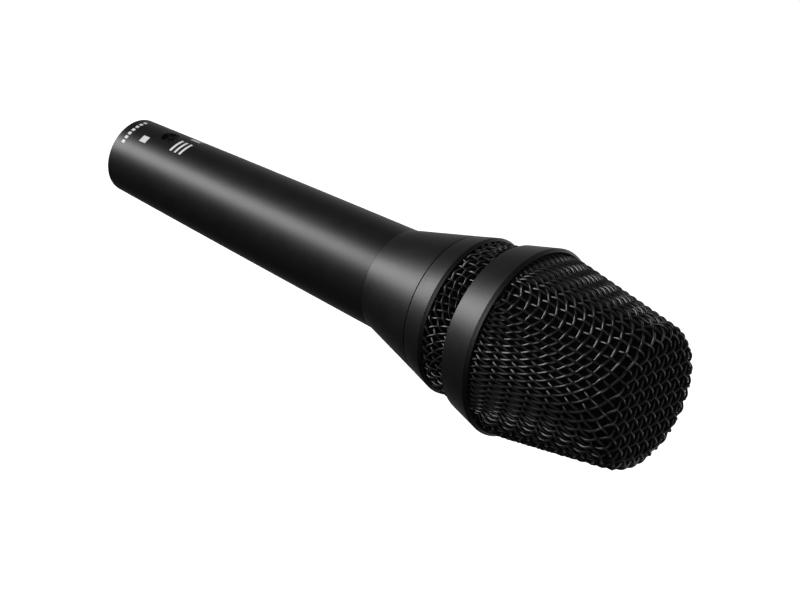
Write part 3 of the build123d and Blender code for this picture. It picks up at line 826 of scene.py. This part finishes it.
def settled_sheet(form, pitch):
    """Crossings of a woven sheet pressed onto the form: one quarter's sheet coordinates, and which exist.

    The sheet is laid on flat and let go, and moves until its wires and crossings are at rest. Its speed is
    steered towards the force on it, and is lost when it would climb.
    """
    reach = form.length + pitch
    count = int(reach / pitch + 0.5) + 1
    ticks = (np.arange(count) + 0.5) * pitch
    sheet = np.stack(np.meshgrid(ticks, ticks, indexing="ij"), -1)
    live = np.linalg.norm(sheet, axis=-1) <= reach
    live_all = with_mirrors(live)
    speed, step, steering, downhill = np.zeros_like(sheet), FIRST_STEP, STEERING, 0
    for _ in range(SETTLING_ROUNDS):
        force = sheet_force(form, sheet, live, live_all, pitch)
        if np.sum(force * speed) > 0:
            pace = np.linalg.norm(speed) / max(1e-12, np.linalg.norm(force))
            speed = (1 - steering) * speed + steering * pace * force
            downhill += 1
            if downhill > ROUNDS_BEFORE_GROWTH:
                step, steering = min(step * STEP_GROWTH, LONGEST_STEP), steering * STEERING_LOSS
        else:
            speed, step, steering, downhill = np.zeros_like(sheet), step / 2, STEERING, 0
        speed += step * force * pitch**2 * GAIN
        move = step * speed
        sheet = sheet + move * min(1.0, LONGEST_MOVE / max(1e-12, np.abs(move).max()))
    return sheet, live


# The sheet's first wire direction, as an angle round the long axis
WEAVE_TURN = math.radians(30.0)
WIRE_SIDES = 8
PER_LINK = 6


def smooth_path(knots):
    """Catmull-Rom curve through knots, with PER_LINK samples from each knot to the next."""
    padded = np.vstack([2 * knots[0] - knots[1], knots, 2 * knots[-1] - knots[-2]])
    samples = []
    for k in range(len(knots) - 1):
        p0, p1, p2, p3 = padded[k : k + 4]
        for t in np.arange(PER_LINK) / PER_LINK:
            curve = 2 * p1 + (p2 - p0) * t + (2 * p0 - 5 * p1 + 4 * p2 - p3) * t * t
            samples.append(0.5 * (curve + (3 * p1 - p0 - 3 * p2 + p3) * t**3))
    samples.append(knots[-1])
    return np.array(samples)


def wire_tube(points, normals, radius, sides):
    """Tube of quads round a line of points, capped at both ends."""
    tangent = np.gradient(points, axis=0)
    tangent /= np.linalg.norm(tangent, axis=1, keepdims=True)
    up = normals - tangent * np.sum(normals * tangent, axis=1, keepdims=True)
    up /= np.linalg.norm(up, axis=1, keepdims=True)
    side = np.cross(tangent, up)
    angles = 2 * math.pi * np.arange(sides) / sides
    cosines, sines = np.cos(angles)[None, :, None], np.sin(angles)[None, :, None]
    ring = up[:, None, :] * cosines + side[:, None, :] * sines
    verts = (points[:, None, :] + radius * ring).reshape(-1, 3)
    faces = []
    for k in range(len(points) - 1):
        for m in range(sides):
            n = (m + 1) % sides
            faces.append((k * sides + m, k * sides + n, (k + 1) * sides + n, (k + 1) * sides + m))
    faces.append(tuple(range(sides - 1, -1, -1)))
    last = (len(points) - 1) * sides
    faces.append(tuple(range(last, last + sides)))
    return verts, faces


def woven(form, pitch, wire_r, start=0.0):
    """Every wire of a plain weave draped on the form, as one mesh's points and faces.

    The wires run from start to the form's hem, both as lengths from the pole.
    """
    sheet, live = settled_sheet(form, pitch)
    count = len(sheet)

    def crossing(a, b):
        """Sheet coordinates of the crossing at column a and row b of the whole sheet, or None."""
        i, j = max(a, -1 - a), max(b, -1 - b)
        if not live[i, j]:
            return None
        return sheet[i, j] * (1 if a >= 0 else -1, 1 if b >= 0 else -1)

    all_points, all_faces, base = [], [], 0
    for family in (0, 1):
        for line in range(-count, count):
            cells = [(k, line) if family == 0 else (line, k) for k in range(-count, count)]
            run = [(k - count, crossing(*cell)) for k, cell in enumerate(cells)]
            run = [(k, knot) for k, knot in run if knot is not None]
            if len(run) < 3:
                continue
            flat = smooth_path(np.array([knot for _, knot in run]))
            at = run[0][0] + np.arange(len(flat)) / PER_LINK
            s = np.linalg.norm(flat, axis=1)
            keep = (s <= form.length) & (s >= start)
            for stretch in np.split(np.arange(len(flat)), np.flatnonzero(~keep)):
                stretch = stretch[keep[stretch]]
                if len(stretch) < 2 * PER_LINK:
                    continue
                points, normals = form.place(flat[stretch], WEAVE_TURN)
                side = 1 if family == 0 else -1
                lift = side * wire_r * np.cos(math.pi * (at[stretch] + line))
                verts, faces = wire_tube(points + normals * lift[:, None], normals, wire_r, WIRE_SIDES)
                all_points.append(verts)
                all_faces += [tuple(base + k for k in face) for face in faces]
                base += len(verts)
    return np.vstack(all_points), all_faces


FRONT_WIRE_R = 0.34
FRONT_PITCH = 2.78
# The front mesh's cup: a cone with a rounded front, and a narrower hem inside the band
MESH_TAPER = 0.1575
MESH_R = 25.06
MESH_FRONT = 184.2
MESH_DOME = 0.3
MESH_CORNER_R = 5.2
CONE_X = 149.5
SWELL_X = 146.5
SWELL_R = 24.36
SWELL_CORNERS = (6.0, 4.0)
HEM_X = 143.3
HEM_R = 24.16
ARC_STEPS = 14
OUTLINE_STEP = 0.25


def cone_r(x):
    """Outside radius of the front mesh's cone."""
    return MESH_R - MESH_TAPER * (x - BAND_EDGE)


def open_rounded(points, radii):
    """Open outline with its corners rounded to arcs of the given radii."""
    points = [np.array(p, float) for p in points]
    result = [points[0]]
    for before, corner, after, radius in zip(points, points[1:], points[2:], radii):
        a, b, _, _, half = corner_sides(before, corner, after)
        reach = radius / math.tan(half)
        centre = corner + (a + b) / np.linalg.norm(a + b) * radius / math.sin(half)
        first, last = corner + a * reach - centre, corner + b * reach - centre
        turn = math.atan2(first[0] * last[1] - first[1] * last[0], np.dot(first, last))
        for angle in [turn * k / ARC_STEPS for k in range(ARC_STEPS + 1)]:
            c, s = math.cos(angle), math.sin(angle)
            result.append(centre + np.array([first[0] * c - first[1] * s, first[0] * s + first[1] * c]))
    result.append(points[-1])
    return result


def resampled(points, step):
    """Open outline with its points spaced evenly, about a step apart."""
    points = np.array(points)
    s = np.concatenate([[0], np.cumsum(np.linalg.norm(np.diff(points, axis=0), axis=1))])
    t = np.linspace(0, s[-1], max(2, int(s[-1] / step)))
    return np.stack([np.interp(t, s, points[:, 0]), np.interp(t, s, points[:, 1])], -1)


def front_cup(inset, corner_r=None, end=HEM_X):
    """Open outline of the grille's cup, from the pole to its hem, moved in by inset."""
    front = MESH_FRONT - inset
    points = [
        (front + MESH_DOME, 0),
        (front, cone_r(front) - inset),
        (CONE_X, cone_r(CONE_X) - inset),
        (SWELL_X, SWELL_R - inset),
        (end, HEM_R - inset),
    ]
    radii = [MESH_CORNER_R - inset if corner_r is None else corner_r, *SWELL_CORNERS]
    return resampled(open_rounded(points, radii), OUTLINE_STEP)


points, faces = woven(Form(front_cup(2 * FRONT_WIRE_R)), FRONT_PITCH, FRONT_WIRE_R)
front_weave = add_mesh("front_weave", points, faces, wire_black, "head")
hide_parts("front_mesh")

REAR_WIRE_R = 0.28
REAR_PITCH = 2.2
REAR_FLOOR_X = 125.0
REAR_MESH_START = 126.3
REAR_HEM_END = 127.8
REAR_HEM_R = 20.75
REAR_SWELL_END = 129.3
REAR_MESH_R = 21.33
REAR_MESH_END = 138.2
REAR_CORNER_R = 1.5
# The wires start this far before the hem does, out of sight in the collar
REAR_OVERLAP = 2.0


def rear_cup(inset):
    """Open outline of the cup that the rear mesh is cut from; its floor is cut away."""
    points = [
        (REAR_FLOOR_X, 0),
        (REAR_FLOOR_X, REAR_HEM_R - inset),
        (REAR_HEM_END, REAR_HEM_R - inset),
        (REAR_SWELL_END, REAR_MESH_R - inset),
        (REAR_MESH_END, REAR_MESH_R - inset),
    ]
    return resampled(open_rounded(points, [REAR_CORNER_R] * 3), OUTLINE_STEP)


rear_form = Form(rear_cup(2 * REAR_WIRE_R))
rear_start = REAR_HEM_R + REAR_MESH_START - REAR_FLOOR_X
points, faces = woven(rear_form, REAR_PITCH, REAR_WIRE_R, start=rear_start - REAR_OVERLAP)
rear_weave = add_mesh("rear_weave", points, faces, wire_black, "head")
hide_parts("rear_mesh")


# ---------------------------------------------------------------- foams
FOAM_SEGMENTS = 240
# The outline stops this short of the axis, and its points there are merged into one
POLE_R = 0.01
MERGE_DISTANCE = 0.02
# A second, weaker layer of cells is this much smaller
SMALL_CELLS = 0.45


def foam_piece(name, outer, inner, depth, cell):
    """Foam shell on the head between two open outlines, pitted to a depth with cells of a size."""
    outline = [(x, max(r, POLE_R)) for x, r in (*outer, *reversed(inner))]
    points, faces = lathe(outline, FOAM_SEGMENTS)
    piece = add_mesh(name, points, faces, foam_black, "head")
    face_out(piece)
    mesh = bmesh.new()
    mesh.from_mesh(piece.data)
    bmesh.ops.remove_doubles(mesh, verts=mesh.verts, dist=MERGE_DISTANCE * MM)
    mesh.normal_update()
    for vert in mesh.verts:
        place = vert.co / (cell * MM)
        height = noise.noise(place) + 0.5 * noise.noise(place / SMALL_CELLS)
        vert.co += vert.normal * (min(0.0, height * depth) * MM)
    mesh.to_mesh(piece.data)
    mesh.free()
    return piece


# The foam presses a little way in between the inner wires
FOAM_INSET = 3.2 * FRONT_WIRE_R
FOAM_THICKNESS = 3.0
FOAM_INNER_CORNER_R = 2.0
STRIP_THICKNESS = 1.1
FOAM_OUTER_STEP = 0.5
FOAM_INNER_STEP = 1.0
foam_start, _, _ = span("front_windscreen")
foam_outer = front_cup(FOAM_INSET, end=foam_start)
foam_inner = front_cup(FOAM_INSET + FOAM_THICKNESS, corner_r=FOAM_INNER_CORNER_R, end=foam_start)
foam_outer = resampled([p for p in foam_outer if p[0] >= foam_start], FOAM_OUTER_STEP)
foam_inner = resampled([p for p in foam_inner if p[0] >= foam_start], FOAM_INNER_STEP)
front_foam = foam_piece("front_foam", foam_outer, foam_inner, depth=0.3, cell=0.9)
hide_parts("front_windscreen")

strip_start, strip_end, strip_r = span("rear_windscreen")
strip_in_r = strip_r - STRIP_THICKNESS
strip_outer = resampled([(strip_start, strip_r), (strip_end, strip_r)], FOAM_OUTER_STEP)
strip_inner = resampled([(strip_start, strip_in_r), (strip_end, strip_in_r)], FOAM_INNER_STEP)
rear_foam = foam_piece("rear_foam", strip_outer, strip_inner, depth=0.4, cell=0.8)
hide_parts("rear_windscreen")

# ---------------------------------------------------------------- finish
bpy.context.view_layer.update()
